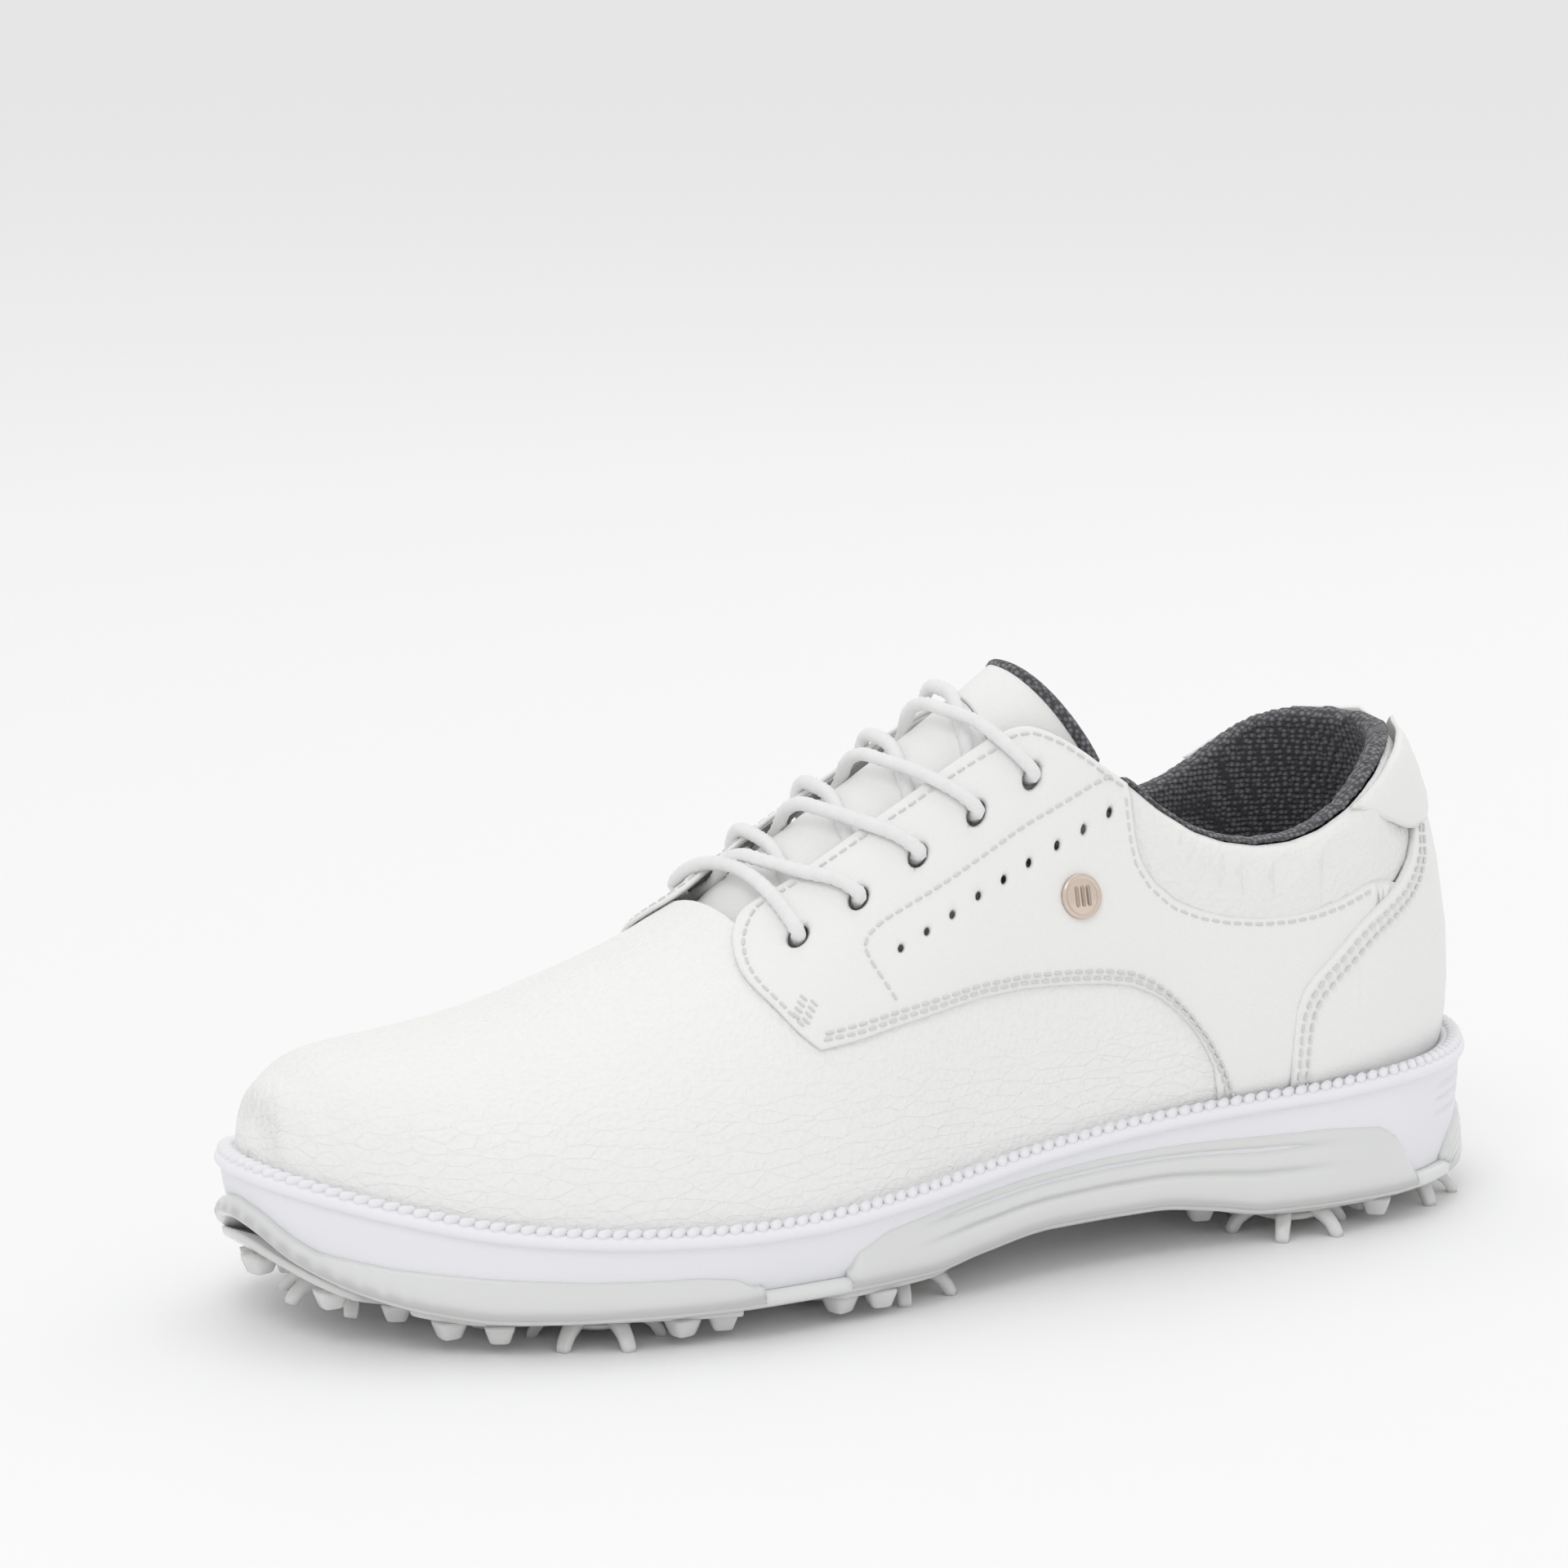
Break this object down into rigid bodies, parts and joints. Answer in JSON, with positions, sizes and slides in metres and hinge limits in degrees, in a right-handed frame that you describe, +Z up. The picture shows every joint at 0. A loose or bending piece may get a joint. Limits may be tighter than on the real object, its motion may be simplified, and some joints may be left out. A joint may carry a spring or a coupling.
{
  "type": "golf shoe",
  "caption": "Left lace-up golf shoe: leather derby upper, foam midsole, translucent outsole and removable soft spikes.",
  "frame": {"origin": "centre of the footprint on the ground, under the spike tips", "axes": "+X towards the heel, -X towards the toe, +Y towards the inner side of this left shoe, +Z up"},
  "size_m": [0.3012, 0.1093, 0.1296],
  "materials": {
    "tumbled_leather": "fine pebbled grain, satin",
    "smooth_leather": "smooth, satin",
    "stiffener": "matt",
    "mesh_lining": "knit mesh",
    "badge_metal": "satin rose gold",
    "lace_cord": "braided",
    "aglet": "clear film",
    "midsole_foam": "smooth matt foam",
    "shank_plate": "moulded",
    "welt_rubber": "ribbed bead",
    "board": "needled board",
    "sockliner_foam": "knit top cloth on foam",
    "outsole_tpu": "milky translucent",
    "window_tpu": "textured translucent",
    "receptacle_plastic": "moulded",
    "spike_front": "clear legs on a silver grey hub",
    "spike_rear": "clear legs on a milky hub"
  },
  "bodies": {
    "root": {"vamp": "tumbled_leather", "heel_stiffener": "stiffener", "collar_panel_lateral": "tumbled_leather", "collar_panel_medial": "tumbled_leather", "quarter_lateral": "smooth_leather", "quarter_medial": "smooth_leather", "heel_counter_cover": "smooth_leather", "heel_tab": "smooth_leather", "toe_puff": "stiffener", "vamp_lining": "mesh_lining", "collar_lining": "mesh_lining", "tongue_base": "smooth_leather", "side_badge": "badge_metal", "lace": "lace_cord", "aglet_lateral": "aglet", "aglet_medial": "aglet", "midsole": "midsole_foam", "shank": "shank_plate", "welt": "welt_rubber", "strobel_board": "board", "outsole": "outsole_tpu", "arch_window": "window_tpu", "receptacle_1": "receptacle_plastic", "receptacle_2": "receptacle_plastic", "receptacle_3": "receptacle_plastic", "receptacle_4": "receptacle_plastic", "receptacle_5": "receptacle_plastic", "receptacle_6": "receptacle_plastic", "receptacle_7": "receptacle_plastic", "receptacle_8": "receptacle_plastic", "receptacle_9": "receptacle_plastic"},
    "tongue_flap": {"tongue_top": "smooth_leather"},
    "insole": {"sockliner": "sockliner_foam"},
    "spike_1_body": {"spike_1": "spike_front"},
    "spike_2_body": {"spike_2": "spike_front"},
    "spike_3_body": {"spike_3": "spike_front"},
    "spike_4_body": {"spike_4": "spike_rear"},
    "spike_5_body": {"spike_5": "spike_rear"},
    "spike_6_body": {"spike_6": "spike_rear"},
    "spike_7_body": {"spike_7": "spike_rear"},
    "spike_8_body": {"spike_8": "spike_rear"},
    "spike_9_body": {"spike_9": "spike_rear"}
  },
  "joints": [
    {"name": "spike_1_twist", "type": "hinge", "parent": "root", "child": "spike_1_body", "pos_m": [-0.12425, 0.00675, 0.01], "axis": [0.1889, 0, 0.982], "range_deg": [0, 60]},
    {"name": "spike_2_twist", "type": "hinge", "parent": "root", "child": "spike_2_body", "pos_m": [-0.08535, -0.03165, 0.007], "axis": [0, 0, 1], "range_deg": [0, 60]},
    {"name": "spike_3_twist", "type": "hinge", "parent": "root", "child": "spike_3_body", "pos_m": [-0.07835, 0.03375, 0.007], "axis": [0, 0, 1], "range_deg": [0, 60]},
    {"name": "spike_4_twist", "type": "hinge", "parent": "root", "child": "spike_4_body", "pos_m": [-0.01425, -0.03255, 0.007], "axis": [0, 0, 1], "range_deg": [0, 60]},
    {"name": "spike_5_twist", "type": "hinge", "parent": "root", "child": "spike_5_body", "pos_m": [-0.02265, 0.02565, 0.007], "axis": [0, 0, 1], "range_deg": [0, 60]},
    {"name": "spike_6_twist", "type": "hinge", "parent": "root", "child": "spike_6_body", "pos_m": [0.08765, -0.03365, 0.007], "axis": [0, 0, 1], "range_deg": [0, 60]},
    {"name": "spike_7_twist", "type": "hinge", "parent": "root", "child": "spike_7_body", "pos_m": [0.07895, 0.01575, 0.007], "axis": [0, 0, 1], "range_deg": [0, 60]},
    {"name": "spike_8_twist", "type": "hinge", "parent": "root", "child": "spike_8_body", "pos_m": [0.12525, -0.02185, 0.007], "axis": [0, 0, 1], "range_deg": [0, 60]},
    {"name": "spike_9_twist", "type": "hinge", "parent": "root", "child": "spike_9_body", "pos_m": [0.11945, 0.01795, 0.007], "axis": [0, 0, 1], "range_deg": [0, 60]},
    {"name": "tongue_flap", "type": "hinge", "parent": "root", "child": "tongue_flap", "pos_m": [0.01925, -0.003, 0.1185], "axis": [0, -1, 0], "range_deg": [0, 10]},
    {"name": "insole_lift", "type": "hinge", "parent": "root", "child": "insole", "pos_m": [-0.13575, 0.004, 0.031], "axis": [0, -1, 0], "range_deg": [0, 3]}
  ]
}
